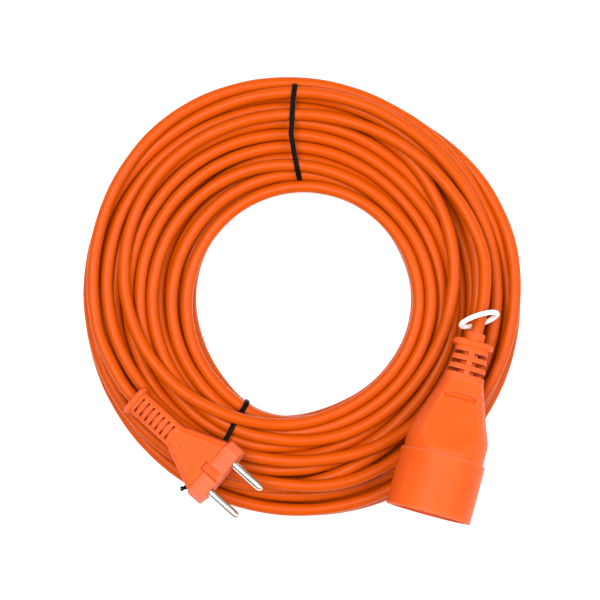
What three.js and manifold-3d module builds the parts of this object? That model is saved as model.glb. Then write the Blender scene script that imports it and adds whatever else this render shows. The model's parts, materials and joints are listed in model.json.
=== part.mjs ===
// A 15 m extension cord wound into a flat ring and held by two twist ties.
// Its two-pin plug and its single socket lie on the ring, and a white hanging ring is threaded
// on the cord behind the socket. Millimetres, +Z up, origin on the floor in the middle of the coil.

import * as THREE from 'three';
import { mergeVertices } from 'three/addons/utils/BufferGeometryUtils.js';
import Module from 'manifold-3d';

const wasm = await Module();
wasm.setup();

// ---- Driving dimensions ---------------------------------------------------------------------

const GAP = 0.3;                    // clearance between touching pieces
const CORD_DIAMETER = 6.4;          // sheathed two-core cable
const CORD_SIDES = 10;
const CORD_HOLE_CLEARANCE = 0.3;    // radial, between the sheath and a strain relief
const CORE_DIAMETER = 2.3;          // one insulated core
const CONDUCTOR_DIAMETER = 1.5;     // the bare end in its crimp

const COIL_INNER_RADIUS = 55.5;
const COIL_OUTER_RADIUS = 115;
const COIL_HEIGHT = 26;
const COIL_ROUNDNESS = 2.4;         // exponent of the bundle's cross-section
const COIL_FLAT_SHARE = 0.14;       // share of the half height cut off where it rests on the floor

const PIN_DIAMETER = 4;
const PIN_LENGTH = 19;
const PIN_PITCH = 19;
const PIN_TAIL = 13.5;              // the pin's length behind the plug's face

const PLUG_FACE_MARGIN = 8.15;      // from a pin's axis to the tip of the face
const PLUG_FACE_HEIGHT = 14.6;
const PLUG_BLOCK_LENGTH = 9;
const PLUG_FLARE_LENGTH = 24.2;
const PLUG_GRIP_INSET = 1.75;       // how far the grip stays behind the face block's sides
const PLUG_SLEEVE_LENGTH = 25.2;
const PLUG_SLEEVE_WIDTH = 12.8;
const PLUG_SLEEVE_HEIGHT = 10;
const PLUG_COLLAR_LENGTH = 3.4;
const PLUG_COLLAR_WIDTH = 16.6;
const PLUG_COLLAR_HEIGHT = 11.6;
const PLUG_SLOTS = 7;
const PLUG_NOTCH_WIDTH = 4.6;
const PLUG_NOTCH_DEPTH = 1.9;
const PLUG_WALL = 2.4;

const SOCKET_OUTER_DIAMETER = 44;
const SOCKET_WALL = 2.2;
const SOCKET_FRONT_LENGTH = 29.9;
const SOCKET_DEPTH = 17;            // from the mouth to the face of the insert
const SOCKET_STEP = 1.25;           // how far the front shell stands proud of the rear body
const SOCKET_BODY_LENGTH = 40.1;
const SOCKET_BODY_WALL = 3;
const SOCKET_SLEEVE_LENGTH = 16.9;
const SOCKET_SLEEVE_WIDTH = 17;
const SOCKET_SLEEVE_HEIGHT = 12.4;
const SOCKET_COLLAR_LENGTH = 3.8;
const SOCKET_COLLAR_WIDTH = 21.3;
const SOCKET_COLLAR_HEIGHT = 14;
const SOCKET_NECK_LENGTH = 4.3;
const SOCKET_NECK_DIAMETER = 10.2;
const SOCKET_SLOT_ROWS = 3;
const SOCKET_INSERT_WEB = 2;        // wall of the insert in front of the contacts
const SOCKET_PIN_HOLE_DIAMETER = 5.4;
const CONTACT_WALL = 1.1;
const CONTACT_BORE_CLEARANCE = 0.3; // radial, over the pin
const CRIMP_WALL = 0.75;
const CRIMP_CLEARANCE = 0.4;        // radial, over the conductor
const CRIMP_LENGTH = 5;

const RING_OUTER_DIAMETER = 21.6;
const RING_BAND = 2.5;
const RING_THICKNESS = 2.4;

const TIE_WIDTH = 2.6;
const TIE_THICKNESS = 1.2;
const TIE_TWIST_DIAMETER = 2.4;

// Places on the coil: the middle of each rear end, and which way each piece points.
const PLUG_PLACE = { at: [-86.7, -51.4, 28.5], heading: -41.5, lift: 10, roll: 7 };
const SOCKET_PLACE = { at: [88.7, -18.1, 32.2], heading: -105.4, lift: 6.5, roll: 0 };
const RING_PLACE = { behindNeck: 6.2, heading: -72.8, lean: 16 };
const TOP_TIE = { clock: 356.5, inner: 59.5, outer: 109.5, twistAt: 'under' };
const LOWER_TIE = { clock: 208.5, inner: 61, outer: 112.4, twistAt: 'outside' };

// The cord's own route where it isn't coiled, from its gland to where it joins the coil.
const PLUG_TAIL_POINTS = [
  [-91.1, -47.5, 27.5],
  [-97.7, -35.6, 26.0],
  [-103.6, -23.9, 24.4],
  [-107.7, -11.3, 22.4],
  [-109.7, 0.0, 20.4],
];
const SOCKET_TAIL_POINTS = [
  [92.4, -4.8, 30.2],
  [93.7, 8.2, 28.4],
  [93.6, 19.9, 26.4],
  [90.7, 31.2, 24.4],
  [86.3, 40.2, 22.4],
];

// ---- Materials ------------------------------------------------------------------------------

const finish = (color, roughness, metalness = 0) =>
  new THREE.MeshStandardMaterial({ color, roughness, metalness });
const cordPvc = () => finish(0xe95a0c, 0.38);
const mouldedPvc = () => finish(0xf4662a, 0.55);
const nickel = () => finish(0xcfccc4, 0.25, 1);
const brass = () => finish(0xb58b3c, 0.35, 1);
const blackPlastic = () => finish(0x17171a, 0.5);
const whitePlastic = () => finish(0xf1efee, 0.4);
const carrierPlastic = () => finish(0xd8d2c4, 0.5);
const brownPvc = () => finish(0x5a3219, 0.5);
const bluePvc = () => finish(0x1d4f9c, 0.5);

// ---- Solids ---------------------------------------------------------------------------------

const degrees = THREE.MathUtils.degToRad;

/** A closed mesh as a manifold solid. */
function solid(geometry) {
  geometry.deleteAttribute('normal');
  geometry.deleteAttribute('uv');
  const merged = mergeVertices(geometry, 1e-4);
  return new wasm.Manifold(new wasm.Mesh({
    numProp: 3,
    vertProperties: new Float32Array(merged.attributes.position.array),
    triVerts: new Uint32Array(merged.index.array),
  }));
}

/** A manifold solid as a three.js geometry. */
function geometryOf(body) {
  const { vertProperties, triVerts, numProp } = body.getMesh();
  const geometry = new THREE.BufferGeometry();
  const positions = new Float32Array((vertProperties.length / numProp) * 3);
  for (let i = 0; i < positions.length / 3; i += 1) {
    positions.set(vertProperties.subarray(i * numProp, i * numProp + 3), i * 3);
  }
  geometry.setAttribute('position', new THREE.BufferAttribute(positions, 3));
  geometry.setIndex(new THREE.BufferAttribute(new Uint32Array(triVerts), 1));
  geometry.computeVertexNormals();
  return geometry;
}

const joined = (bodies) => bodies.reduce((sum, body) => sum.add(body));
const cut = (body, tools) => tools.reduce((left, tool) => left.subtract(tool), body);

/** A solid through cross-sections along X. Each section is {x, outline} with [y, z] points. */
function loft(sections) {
  const count = sections[0].outline.length;
  const positions = [];
  const index = [];
  for (const { x, outline } of sections) {
    for (const [y, z] of outline) {
      positions.push(x, y, z);
    }
  }
  const ends = [sections[0], sections[sections.length - 1]];
  for (const { x, outline } of ends) {
    const y = outline.reduce((sum, point) => sum + point[0], 0) / count;
    const z = outline.reduce((sum, point) => sum + point[1], 0) / count;
    positions.push(x, y, z);
  }
  const rear = sections.length * count;
  const last = rear - count;
  for (let k = 0; k < count; k += 1) {
    const next = (k + 1) % count;
    for (let ring = 0; ring < last; ring += count) {
      index.push(ring + k, ring + next, ring + count + k);
      index.push(ring + next, ring + count + next, ring + count + k);
    }
    index.push(rear, next, k);
    index.push(rear + 1, last + k, last + next);
  }
  const geometry = new THREE.BufferGeometry();
  geometry.setAttribute('position', new THREE.Float32BufferAttribute(positions, 3));
  geometry.setIndex(index);
  return solid(geometry);
}

/** A rounded rectangle as a superellipse. */
function rounded(width, height, exponent = 4, count = 20) {
  return Array.from({ length: count }, (_, k) => {
    const angle = (2 * Math.PI * (k + 0.5)) / count;
    const share = (value) => Math.sign(value) * Math.abs(value) ** (2 / exponent);
    return [(width / 2) * share(Math.cos(angle)), (height / 2) * share(Math.sin(angle))];
  });
}

/** A circle with its top and bottom cut flat. */
function flattened(radius, halfHeight, count = 28) {
  return Array.from({ length: count }, (_, k) => {
    const angle = (2 * Math.PI * (k + 0.5)) / count;
    const z = radius * Math.sin(angle);
    return [radius * Math.cos(angle), Math.max(-halfHeight, Math.min(halfHeight, z))];
  });
}

/** The flattened hexagon of a two-pin plug's face. */
function hexagon(width, height) {
  const flat = width * 0.34;
  const edge = height * 0.12;
  return [
    [width / 2, -edge], [width / 2, edge], [flat, height / 2], [-flat, height / 2],
    [-width / 2, edge], [-width / 2, -edge], [-flat, -height / 2], [flat, -height / 2],
  ];
}

function box(x, y, z, at = [0, 0, 0]) {
  return solid(new THREE.BoxGeometry(x, y, z).translate(...at));
}

/** A round bar or bore along X, from one x to another, at a y. */
function bar(radius, from, to, y = 0, sides = 16) {
  const geometry = new THREE.CylinderGeometry(radius, radius, to - from, sides);
  return solid(geometry.rotateZ(-Math.PI / 2).translate((from + to) / 2, y, 0));
}

/** A turned piece about the X axis, moved to a y. Its profile is [x, radius] points. */
function turned(profile, y = 0, segments = 18) {
  const points = profile.map(([x, radius]) => new THREE.Vector2(radius, x));
  const geometry = new THREE.LatheGeometry(points, segments);
  return solid(geometry.rotateZ(-Math.PI / 2).translate(0, y, 0));
}

function circleShape(radius, sides) {
  const corners = Array.from({ length: sides }, (_, k) => {
    const angle = (2 * Math.PI * k) / sides;
    return new THREE.Vector2(radius * Math.cos(angle), radius * Math.sin(angle));
  });
  return new THREE.Shape(corners);
}

/** A tube along a smooth curve through points. */
function tube(points, radius, steps, sides = CORD_SIDES) {
  const extrudePath = new THREE.CatmullRomCurve3(points, false, 'centripetal');
  const settings = { steps, bevelEnabled: false, extrudePath };
  return solid(new THREE.ExtrudeGeometry(circleShape(radius, sides), settings));
}

// ---- Places ---------------------------------------------------------------------------------

/** The matrix of a piece whose rear end is at a point, with +X as its front. */
function placement({ at, heading, lift, roll }) {
  const turn = new THREE.Euler(degrees(roll), degrees(-lift), degrees(heading), 'ZYX');
  const quaternion = new THREE.Quaternion().setFromEuler(turn);
  return new THREE.Matrix4().compose(
    new THREE.Vector3(...at), quaternion, new THREE.Vector3(1, 1, 1));
}

const plugMatrix = placement(PLUG_PLACE);
const socketMatrix = placement(SOCKET_PLACE);
const onPlug = (x, y = 0, z = 0) => new THREE.Vector3(x, y, z).applyMatrix4(plugMatrix);
const onSocket = (x, y = 0, z = 0) => new THREE.Vector3(x, y, z).applyMatrix4(socketMatrix);
const moved = (body, matrix) => body.transform(matrix.elements);

// ---- Sizes worked out from the driving ones ---------------------------------------------------

const cordRadius = CORD_DIAMETER / 2;
const cordHoleRadius = cordRadius + CORD_HOLE_CLEARANCE;
const pinRadius = PIN_DIAMETER / 2;
const crimpBore = CONDUCTOR_DIAMETER / 2 + CRIMP_CLEARANCE;

// Along the plug, from the rear face of its collar.
const plugSleeveEnd = PLUG_COLLAR_LENGTH + PLUG_SLEEVE_LENGTH;
const plugBodyStart = plugSleeveEnd + GAP;
const plugBlockStart = plugBodyStart + PLUG_FLARE_LENGTH;
const plugFace = plugBlockStart + PLUG_BLOCK_LENGTH;
const plugPinRear = plugFace - PIN_TAIL;
const plugPivot = PLUG_COLLAR_LENGTH + PLUG_SLEEVE_LENGTH / 2;
const plugFaceWidth = PIN_PITCH + 2 * PLUG_FACE_MARGIN;

// Along the socket, from the rear face of its neck.
const socketCollarEnd = SOCKET_NECK_LENGTH + SOCKET_COLLAR_LENGTH;
const socketSleeveEnd = socketCollarEnd + SOCKET_SLEEVE_LENGTH;
const socketBodyStart = socketSleeveEnd + GAP;
const socketBodyEnd = socketBodyStart + SOCKET_BODY_LENGTH;
const socketShellStart = socketBodyEnd + GAP;
const socketMouth = socketShellStart + SOCKET_FRONT_LENGTH;
const socketInsertFace = socketMouth - SOCKET_DEPTH;
const socketPivot = socketCollarEnd + SOCKET_SLEEVE_LENGTH / 2;
const shellRadius = SOCKET_OUTER_DIAMETER / 2;
const bodyRadius = shellRadius - SOCKET_STEP;

/** How far the cord may reach from a pivot so that the turning body, at a distance, clears it. */
const reachInside = (distance) => Math.sqrt((distance - GAP) ** 2 - cordRadius ** 2);
const plugCordEnd = plugPivot + reachInside(plugBodyStart - plugPivot);
const socketCordEnd = socketPivot + reachInside(socketBodyStart - socketPivot);

// ---- Plug -------------------------------------------------------------------------------------

const plugSleeveOutline = (grow = 0) =>
  rounded(PLUG_SLEEVE_WIDTH + 2 * grow, PLUG_SLEEVE_HEIGHT + 2 * grow);

/** The outside of the flared grip and of the face block. */
function plugOutside(grow = 0) {
  const grip = loft([
    { x: plugBodyStart - grow, outline: plugSleeveOutline(grow) },
    {
      x: plugBodyStart + PLUG_FLARE_LENGTH * 0.15,
      outline: rounded(PLUG_SLEEVE_WIDTH + 1.6 + 2 * grow, PLUG_SLEEVE_HEIGHT + 0.6 + 2 * grow, 5),
    },
    {
      x: plugBlockStart + 0.5,
      outline: rounded(
        plugFaceWidth - 2 * PLUG_GRIP_INSET + 2 * grow, PLUG_FACE_HEIGHT - 1.4 + 2 * grow, 5),
    },
  ]);
  const face = hexagon(plugFaceWidth + 2 * grow, PLUG_FACE_HEIGHT + 2 * grow);
  const block = loft([
    { x: plugBlockStart - grow, outline: face },
    { x: plugFace + grow, outline: face },
  ]);
  return grip.add(block);
}

function plugCollar(grow = 0) {
  const outline = (inset) => rounded(
    PLUG_COLLAR_WIDTH + 2 * (grow - inset), PLUG_COLLAR_HEIGHT + 2 * (grow - inset));
  return loft([
    { x: -grow, outline: outline(0.8) },
    { x: 0.8, outline: outline(0) },
    { x: PLUG_COLLAR_LENGTH - 0.8, outline: outline(0) },
    { x: PLUG_COLLAR_LENGTH + grow, outline: outline(0.8) },
  ]);
}

const pinSides = [['left', 1], ['right', -1]];
const bridgeWidth = PIN_PITCH + PIN_DIAMETER + 2;
const bridgeHeight = PIN_DIAMETER + 4;
const bridgeEnd = plugFace - PLUG_WALL;
const bridgeStart = bridgeEnd - PLUG_BLOCK_LENGTH + 1;

function plugBody() {
  const coreRoom = corePoints(plugBodyStart + GAP, plugPinRear, 1).slice(1, 4).map(({ x, y }) => ({
    x,
    outline: rounded(2 * y + CORE_DIAMETER + 4 * GAP, 2 * cordHoleRadius),
  }));
  const bridgeRoom = rounded(bridgeWidth + 2 * GAP, bridgeHeight + 2 * GAP, 8);
  const hollow = loft([
    { x: plugBodyStart - 1, outline: rounded(2 * cordHoleRadius, 2 * cordHoleRadius) },
    ...coreRoom,
    { x: bridgeStart - 1, outline: bridgeRoom },
    { x: bridgeEnd + GAP, outline: bridgeRoom },
  ]);
  const pinHoles = pinSides.map(([, side]) => bar(
    pinRadius + GAP, bridgeEnd - 1, plugFace + 1, (side * PIN_PITCH) / 2));
  const notch = box(
    PLUG_BLOCK_LENGTH + 2, PLUG_NOTCH_WIDTH, PLUG_NOTCH_DEPTH * 2,
    [plugBlockStart + PLUG_BLOCK_LENGTH / 2 + 1, 0, PLUG_FACE_HEIGHT / 2]);
  return cut(plugOutside(), [hollow, ...pinHoles, notch]);
}

function plugStrainRelief() {
  const sleeve = loft([
    { x: PLUG_COLLAR_LENGTH - 1, outline: plugSleeveOutline() },
    { x: plugSleeveEnd, outline: plugSleeveOutline() },
  ]);
  const slotPitch = PLUG_SLEEVE_LENGTH / (PLUG_SLOTS + 0.2);
  const slots = Array.from({ length: PLUG_SLOTS }, (_, k) => box(
    slotPitch * 0.36, PLUG_SLEEVE_WIDTH * 0.66, PLUG_SLEEVE_HEIGHT + 2,
    [PLUG_COLLAR_LENGTH + slotPitch * (k + 0.6), 0, 0]));
  const hole = bar(cordHoleRadius, -1, plugSleeveEnd + 1);
  return cut(joined([plugCollar(), sleeve]), [hole, ...slots]);
}

function plugBridge() {
  const block = loft([
    { x: bridgeStart, outline: rounded(bridgeWidth, bridgeHeight, 8) },
    { x: bridgeEnd, outline: rounded(bridgeWidth, bridgeHeight, 8) },
  ]);
  const holes = pinSides.map(([, side]) => bar(
    pinRadius + GAP, bridgeStart - 1, bridgeEnd + 1, (side * PIN_PITCH) / 2));
  return cut(block, holes);
}

function plugPin(side) {
  const tip = plugFace + PIN_LENGTH;
  return turned([
    [plugPinRear + CRIMP_LENGTH, 0],
    [plugPinRear + CRIMP_LENGTH, crimpBore],
    [plugPinRear, crimpBore],
    [plugPinRear, pinRadius],
    [tip - pinRadius, pinRadius],
    [tip - pinRadius * 0.5, pinRadius * 0.87],
    [tip - pinRadius * 0.13, pinRadius * 0.5],
    [tip, 0],
  ], (side * PIN_PITCH) / 2);
}

/** The route of a core that spreads from the sheath's end to a crimp beside it. */
function corePoints(from, crimpStart, side) {
  const spread = (side * PIN_PITCH) / 2;
  const start = side * (CORE_DIAMETER / 2 + GAP);
  const end = crimpStart - GAP;
  const shares = [[0, 0], [0.25, 0.1], [0.55, 0.48], [0.85, 0.95], [1, 1]];
  return shares.map(([along, across]) => new THREE.Vector3(
    from + (end - from) * along, start + (spread - start) * across, 0));
}

/** An insulated core with its bare end in the crimp. */
function core(from, crimpStart, side) {
  const insulation = tube(corePoints(from, crimpStart, side), CORE_DIAMETER / 2, 12, 10);
  const bareEnd = bar(
    CONDUCTOR_DIAMETER / 2, crimpStart - GAP - 1, crimpStart + CRIMP_LENGTH * 0.6,
    (side * PIN_PITCH) / 2, 10);
  return insulation.add(bareEnd);
}

// ---- Socket -----------------------------------------------------------------------------------

/** The rear body's half width and half height along its length, as shares of the front radius. */
const SOCKET_FLARE = [
  { along: 0, width: 0.506, height: 0.366 },
  { along: 0.25, width: 0.665, height: 0.47 },
  { along: 0.56, width: 0.877, height: 0.65 },
  { along: 0.7, width: 0.983, height: 0.74 },
  { along: 0.78, width: 1, height: 0.82 },
  { along: 0.87, width: 1, height: 0.92 },
  { along: 0.95, width: 1, height: 1 },
  { along: 1, width: 1, height: 1 },
];

function socketFlare(grow, from, to) {
  return loft(SOCKET_FLARE.map(({ along, width, height }) => ({
    x: from + (to - from) * along,
    outline: flattened(bodyRadius * width + grow, bodyRadius * height + grow),
  })));
}

function socketCollar(grow = 0) {
  const outline = (inset) => rounded(
    SOCKET_COLLAR_WIDTH + 2 * (grow - inset), SOCKET_COLLAR_HEIGHT + 2 * (grow - inset), 3.2);
  return loft([
    { x: SOCKET_NECK_LENGTH - grow, outline: outline(0.9) },
    { x: SOCKET_NECK_LENGTH + 0.9, outline: outline(0) },
    { x: socketCollarEnd - 0.9, outline: outline(0) },
    { x: socketCollarEnd + grow, outline: outline(0.9) },
  ]);
}

function socketSleeve(grow = 0) {
  const wider = bodyRadius * SOCKET_FLARE[0].width * 2 - 1.5;
  const higher = bodyRadius * SOCKET_FLARE[0].height * 2 - 1.5;
  return loft([
    {
      x: socketCollarEnd - 1,
      outline: rounded(SOCKET_SLEEVE_WIDTH + 2 * grow, SOCKET_SLEEVE_HEIGHT + 2 * grow, 3.2),
    },
    { x: socketSleeveEnd + grow, outline: rounded(wider + 2 * grow, higher + 2 * grow, 3.2) },
  ]);
}

function socketStrainRelief() {
  const neck = bar(SOCKET_NECK_DIAMETER / 2, 0, SOCKET_NECK_LENGTH + 1);
  const hole = bar(cordHoleRadius, -1, socketSleeveEnd + 1);
  const rowPitch = SOCKET_SLEEVE_LENGTH / (SOCKET_SLOT_ROWS + 0.6);
  const web = 3;
  const slotLength = SOCKET_SLEEVE_WIDTH;
  const slots = Array.from({ length: SOCKET_SLOT_ROWS * 2 }, (_, k) => {
    const row = Math.floor(k / 2);
    const side = k % 2 ? -1 : 1;
    return box(rowPitch * 0.42, slotLength, SOCKET_COLLAR_HEIGHT + 2, [
      socketCollarEnd + rowPitch * (row + 0.8),
      (side * (web + slotLength)) / 2,
      0,
    ]);
  });
  return cut(joined([neck, socketCollar(), socketSleeve()]), [hole, ...slots]);
}

function socketRearBody() {
  const outside = socketFlare(0, socketBodyStart, socketBodyEnd);
  const hollowStations = [SOCKET_FLARE[1], SOCKET_FLARE[2], SOCKET_FLARE[4]];
  const hollow = loft([
    { x: socketBodyStart - 1, outline: flattened(cordHoleRadius, cordHoleRadius) },
    ...hollowStations.map(({ along, width, height }) => ({
      x: socketBodyStart + SOCKET_BODY_LENGTH * along,
      outline: flattened(bodyRadius * width - SOCKET_BODY_WALL, bodyRadius * height - SOCKET_BODY_WALL),
    })),
    {
      x: socketBodyEnd + 1,
      outline: flattened(bodyRadius - SOCKET_BODY_WALL, bodyRadius - SOCKET_BODY_WALL),
    },
  ]);
  return cut(outside, [hollow]);
}

const insertStart = socketShellStart + 1.2;
const shellInside = shellRadius - SOCKET_WALL;
const contactFront = socketInsertFace - SOCKET_INSERT_WEB - GAP;
const contactBore = pinRadius + CONTACT_BORE_CLEARANCE;
const contactRadius = contactBore + CONTACT_WALL;
const contactFloor = contactFront - 15.5;
const contactRear = contactFloor - 1.5 - CRIMP_LENGTH;

function socketFrontShell() {
  const edge = 0.6;
  return turned([
    [socketShellStart, shellInside],
    [socketShellStart, shellRadius - edge],
    [socketShellStart + edge, shellRadius],
    [socketMouth - edge, shellRadius],
    [socketMouth, shellRadius - edge],
    [socketMouth, shellInside + edge],
    [socketMouth - edge, shellInside],
    [socketShellStart, shellInside],
  ], 0, 40);
}

function socketInsert() {
  const disc = bar(shellInside - GAP, insertStart, socketInsertFace, 0, 40);
  const holes = pinSides.flatMap(([, side]) => [
    bar(SOCKET_PIN_HOLE_DIAMETER / 2, insertStart, socketInsertFace + 1, (side * PIN_PITCH) / 2),
    bar(contactRadius + GAP, insertStart - 1, contactFront + GAP, (side * PIN_PITCH) / 2),
  ]);
  return cut(disc, holes);
}

function socketContact(side) {
  const crimpRadius = crimpBore + CRIMP_WALL;
  return turned([
    [contactFloor - 1.5, 0],
    [contactFloor - 1.5, crimpBore],
    [contactRear, crimpBore],
    [contactRear, crimpRadius],
    [contactFloor - 1.5, crimpRadius],
    [contactFloor - 1, contactRadius],
    [contactFront, contactRadius],
    [contactFront, contactBore],
    [contactFloor, contactBore],
    [contactFloor, 0],
  ], (side * PIN_PITCH) / 2);
}

// ---- Hanging ring -----------------------------------------------------------------------------

const ringOuter = RING_OUTER_DIAMETER / 2;
const ringInner = ringOuter - RING_BAND;

/** The ring's normal: it stands nearly upright and its top leans away from the socket. */
const ringNormal = new THREE.Vector3(
  Math.cos(degrees(RING_PLACE.heading)) * Math.cos(degrees(RING_PLACE.lean)),
  Math.sin(degrees(RING_PLACE.heading)) * Math.cos(degrees(RING_PLACE.lean)),
  Math.sin(degrees(RING_PLACE.lean)));

/** The ring hangs on the cord: its inner edge is just under the sheath. */
const ringSeat = onSocket(-RING_PLACE.behindNeck);
const ringUp = new THREE.Vector3(0, 0, 1).addScaledVector(ringNormal, -ringNormal.z).normalize();
const ringCentre = ringSeat.clone().addScaledVector(
  ringUp, ringInner - cordRadius / Math.cos(degrees(RING_PLACE.lean)) - 2.5 * GAP);
const ringTravel = 10;

function hangRing() {
  const half = RING_THICKNESS / 2;
  const edge = 0.35;
  return turned([
    [-half, ringInner + edge],
    [-half, ringOuter - edge],
    [-half + edge, ringOuter],
    [half - edge, ringOuter],
    [half, ringOuter - edge],
    [half, ringInner + edge],
    [half - edge, ringInner],
    [-half + edge, ringInner],
    [-half, ringInner + edge],
  ], 0, 28);
}

/** The space the ring needs on the coil, over its whole travel along the cord. */
function ringTrough() {
  const lead = ringOuter * Math.sin(degrees(RING_PLACE.lean)) + ringOuter * 0.5 + 1;
  const trough = bar(ringOuter + 0.5, -lead, ringTravel + lead, 0, 32);
  const back = onSocket(-1).sub(onSocket(0)).normalize();
  const turn = new THREE.Quaternion().setFromUnitVectors(new THREE.Vector3(1, 0, 0), back);
  const place = new THREE.Matrix4().compose(ringCentre, turn, new THREE.Vector3(1, 1, 1));
  return moved(trough, place);
}

// ---- Ties -------------------------------------------------------------------------------------

const coilMiddle = (COIL_INNER_RADIUS + COIL_OUTER_RADIUS) / 2;
const coilHalfWidth = (COIL_OUTER_RADIUS - COIL_INNER_RADIUS) / 2;
const coilHalfHeight = COIL_HEIGHT / (2 - COIL_FLAT_SHARE);
const coilAxisHeight = COIL_HEIGHT - coilHalfHeight;

/** The bundle's cross-section, flat where it rests on the floor, as [radius, z] points. */
function bundleOutline(middle, halfWidth, halfHeight, floor, count) {
  return rounded(2 * halfWidth, 2 * halfHeight, COIL_ROUNDNESS, count)
    .map(([r, z]) => [middle + r, Math.max(floor, coilAxisHeight + z)]);
}

function tieShape({ inner, outer }, grow) {
  const ring = (inset, floor) => bundleOutline(
    (inner + outer) / 2, (outer - inner) / 2 - inset, coilHalfHeight + 0.6 - inset, floor, 24)
    .map(([r, z]) => new THREE.Vector2(r, z));
  const shape = new THREE.Shape(ring(-grow, GAP - grow));
  shape.holes.push(new THREE.Path(ring(TIE_THICKNESS + grow, GAP + TIE_THICKNESS + grow)));
  return shape;
}

/** The twisted ends of a tie, which stand out at the coil's edge or lie under it. */
function twistPoints({ outer, twistAt }) {
  const outside = [[outer - 0.8, 12, 0], [outer + 2.6, 13.5, 0.6], [outer + 4.4, 16, 2.4]];
  const under = [[outer - 1.4, 5.5, 0], [outer + 0.4, 3.4, 2.5], [outer + 0.8, 2.4, 7.5]];
  const points = twistAt === 'outside' ? outside : under;
  return points.map(([r, z, along]) => new THREE.Vector3(r, z, along));
}

function tie(settings, grow = 0) {
  const depth = TIE_WIDTH + 2 * grow;
  const band = new THREE.ExtrudeGeometry(tieShape(settings, grow), { depth, bevelEnabled: false });
  const twist = tube(twistPoints(settings), TIE_TWIST_DIAMETER / 2 + grow, 8, 8);
  const both = solid(band.translate(0, 0, -depth / 2)).add(twist);
  const bearing = degrees(90 - settings.clock);
  const upright = new THREE.Matrix4().makeRotationX(Math.PI / 2);
  return moved(both, new THREE.Matrix4().makeRotationZ(bearing).multiply(upright));
}

// ---- Cord -------------------------------------------------------------------------------------

const vectors = (points) => points.map((point) => new THREE.Vector3(...point));

/** The route from inside a gland, out along its axis and over the coil. */
const plugTailRoute = [onPlug(plugCordEnd), onPlug(plugPivot), onPlug(0), ...vectors(PLUG_TAIL_POINTS)];
const socketTailRoute = [
  onSocket(socketCordEnd), onSocket(socketPivot), onSocket(0), ...vectors(SOCKET_TAIL_POINTS)];

/** A route made longer by a gap at its far end. */
function runOn(route) {
  const last = route[route.length - 1];
  const before = route[route.length - 2];
  const further = last.clone().sub(before).normalize().multiplyScalar(GAP);
  return [...route.slice(0, -1), last.clone().add(further)];
}

const tailSteps = 20;
const cordTail = (route) => tube(route, cordRadius, tailSteps);

function cableCoil() {
  const outline = bundleOutline(coilMiddle, coilHalfWidth, coilHalfHeight, 0, 20);
  const profile = [...outline, outline[0]].map(([r, z]) => new THREE.Vector2(r, z));
  const ring = solid(new THREE.LatheGeometry(profile, 56).rotateX(Math.PI / 2));
  const room = 2 * GAP;
  const plugRoom = joined([
    plugCollar(room),
    loft([
      { x: 0, outline: plugSleeveOutline(room) },
      { x: plugBodyStart, outline: plugSleeveOutline(room) },
    ]),
    plugOutside(room),
  ]);
  const socketRoom = joined([
    bar(SOCKET_NECK_DIAMETER / 2 + room, -room, SOCKET_NECK_LENGTH + 1),
    socketCollar(room),
    socketSleeve(room),
    socketFlare(room, socketBodyStart - room, socketBodyEnd),
    bar(shellRadius + room, socketBodyEnd - 1, socketMouth + room, 0, 40),
  ]);
  return cut(ring, [
    moved(plugRoom, plugMatrix),
    moved(socketRoom, socketMatrix),
    ringTrough(),
    tie(TOP_TIE, GAP),
    tie(LOWER_TIE, GAP),
    tube(runOn(plugTailRoute), cordRadius + GAP, tailSteps),
    tube(runOn(socketTailRoute), cordRadius + GAP, tailSteps),
  ]);
}

// ---- Assembly ---------------------------------------------------------------------------------

function addPiece(group, name, body, material) {
  const mesh = new THREE.Mesh(geometryOf(body), material);
  mesh.name = name;
  group.add(mesh);
}

function placedGroup(matrix) {
  const group = new THREE.Group();
  group.applyMatrix4(matrix);
  return group;
}

const plug = placedGroup(plugMatrix);
addPiece(plug, 'plug_body', plugBody(), mouldedPvc());
addPiece(plug, 'plug_strain_relief', plugStrainRelief(), mouldedPvc());
addPiece(plug, 'plug_pin_bridge', plugBridge(), carrierPlastic());
for (const [name, side] of pinSides) {
  addPiece(plug, `plug_pin_${name}`, plugPin(side), nickel());
}
addPiece(plug, 'plug_core_brown', core(plugBodyStart + GAP, plugPinRear, 1), brownPvc());
addPiece(plug, 'plug_core_blue', core(plugBodyStart + GAP, plugPinRear, -1), bluePvc());

const socket = placedGroup(socketMatrix);
addPiece(socket, 'socket_front_shell', socketFrontShell(), mouldedPvc());
addPiece(socket, 'socket_rear_body', socketRearBody(), mouldedPvc());
addPiece(socket, 'socket_strain_relief', socketStrainRelief(), mouldedPvc());
addPiece(socket, 'socket_insert', socketInsert(), mouldedPvc());
for (const [name, side] of pinSides) {
  addPiece(socket, `socket_contact_${name}`, socketContact(side), brass());
}
addPiece(socket, 'socket_core_brown', core(socketBodyStart + GAP, contactRear, 1), brownPvc());
addPiece(socket, 'socket_core_blue', core(socketBodyStart + GAP, contactRear, -1), bluePvc());

const ringTurn = new THREE.Quaternion().setFromUnitVectors(new THREE.Vector3(1, 0, 0), ringNormal);
const ring = placedGroup(
  new THREE.Matrix4().compose(ringCentre, ringTurn, new THREE.Vector3(1, 1, 1)));
addPiece(ring, 'hang_ring', hangRing(), whitePlastic());

const extensionCord = new THREE.Group();
addPiece(extensionCord, 'cable_coil', cableCoil(), cordPvc());
addPiece(extensionCord, 'cable_tail_plug', cordTail(plugTailRoute), cordPvc());
addPiece(extensionCord, 'cable_tail_socket', cordTail(socketTailRoute), cordPvc());
addPiece(extensionCord, 'tie_top', tie(TOP_TIE), blackPlastic());
addPiece(extensionCord, 'tie_lower', tie(LOWER_TIE), blackPlastic());
extensionCord.add(plug, socket, ring);

export default extensionCord;
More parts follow.
